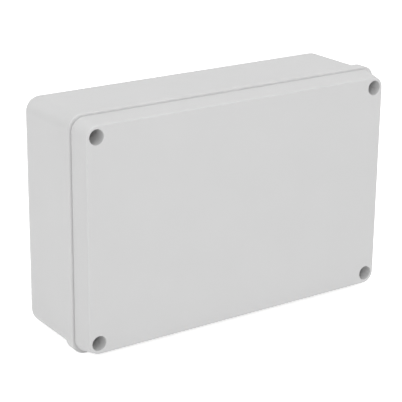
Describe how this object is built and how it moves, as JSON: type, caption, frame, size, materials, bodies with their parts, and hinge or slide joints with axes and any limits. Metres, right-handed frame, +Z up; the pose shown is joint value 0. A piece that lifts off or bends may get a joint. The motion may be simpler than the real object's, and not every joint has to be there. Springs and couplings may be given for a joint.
{
  "type": "plastic project box",
  "caption": "Light grey moulded project box: plain base with a proud collar, lid with deep corner screw wells, gasket seal, board standoffs and wall fixing holes.",
  "frame": {"origin": "under the middle of the box, on the surface that the lowest edge of the collar stands on", "axes": "+X to the viewer's right along the width, +Y backwards from the lid to the rear face, +Z up along the height of the standing box"},
  "size_m": [0.222, 0.072, 0.146],
  "materials": {
    "grey_abs": "moulded ABS, fine satin grain",
    "gasket_rubber": "black moulded rubber",
    "stainless_steel": "plain stainless steel",
    "nylon": "natural nylon",
    "brass": "turned and knurled brass"
  },
  "bodies": {
    "base": {"base": "grey_abs", "screw_insert_top_left": "brass", "screw_insert_top_right": "brass", "screw_insert_bottom_left": "brass", "screw_insert_bottom_right": "brass", "board_insert_top_left": "brass", "board_insert_top_right": "brass", "board_insert_bottom_left": "brass", "board_insert_bottom_right": "brass"},
    "lid": {"lid": "grey_abs", "gasket": "gasket_rubber"},
    "retainer_top_left": {"retaining_washer_top_left": "nylon"},
    "screw_top_left": {"lid_screw_top_left": "stainless_steel"},
    "retainer_top_right": {"retaining_washer_top_right": "nylon"},
    "screw_top_right": {"lid_screw_top_right": "stainless_steel"},
    "retainer_bottom_left": {"retaining_washer_bottom_left": "nylon"},
    "screw_bottom_left": {"lid_screw_bottom_left": "stainless_steel"},
    "retainer_bottom_right": {"retaining_washer_bottom_right": "nylon"},
    "screw_bottom_right": {"lid_screw_bottom_right": "stainless_steel"}
  },
  "joints": [
    {"name": "lid_lift", "type": "slide", "parent": "base", "child": "lid", "axis": [0, -1, 0], "range_m": [0, 0.09]},
    {"name": "screw_back_out_top_left", "type": "slide", "parent": "lid", "child": "retainer_top_left", "axis": [0, -1, 0], "range_m": [0, 0.0056]},
    {"name": "screw_turn_top_left", "type": "hinge", "parent": "retainer_top_left", "child": "screw_top_left", "pos_m": [-0.1005, -0.016, 0.1353], "axis": [0, -1, 0], "range_deg": [0, 2881]},
    {"name": "screw_back_out_top_right", "type": "slide", "parent": "lid", "child": "retainer_top_right", "axis": [0, -1, 0], "range_m": [0, 0.0056]},
    {"name": "screw_turn_top_right", "type": "hinge", "parent": "retainer_top_right", "child": "screw_top_right", "pos_m": [0.1005, -0.016, 0.1353], "axis": [0, -1, 0], "range_deg": [0, 2881]},
    {"name": "screw_back_out_bottom_left", "type": "slide", "parent": "lid", "child": "retainer_bottom_left", "axis": [0, -1, 0], "range_m": [0, 0.0056]},
    {"name": "screw_turn_bottom_left", "type": "hinge", "parent": "retainer_bottom_left", "child": "screw_bottom_left", "pos_m": [-0.1005, -0.016, 0.0107], "axis": [0, -1, 0], "range_deg": [0, 2881]},
    {"name": "screw_back_out_bottom_right", "type": "slide", "parent": "lid", "child": "retainer_bottom_right", "axis": [0, -1, 0], "range_m": [0, 0.0056]},
    {"name": "screw_turn_bottom_right", "type": "hinge", "parent": "retainer_bottom_right", "child": "screw_bottom_right", "pos_m": [0.1005, -0.016, 0.0107], "axis": [0, -1, 0], "range_deg": [0, 2881]}
  ],
  "couplings": [
    {"joint": "screw_turn_top_left", "follows": "screw_back_out_top_left", "rad_per_m": 8976},
    {"joint": "screw_turn_top_right", "follows": "screw_back_out_top_right", "rad_per_m": 8976},
    {"joint": "screw_turn_bottom_left", "follows": "screw_back_out_bottom_left", "rad_per_m": 8976},
    {"joint": "screw_turn_bottom_right", "follows": "screw_back_out_bottom_right", "rad_per_m": 8976}
  ]
}
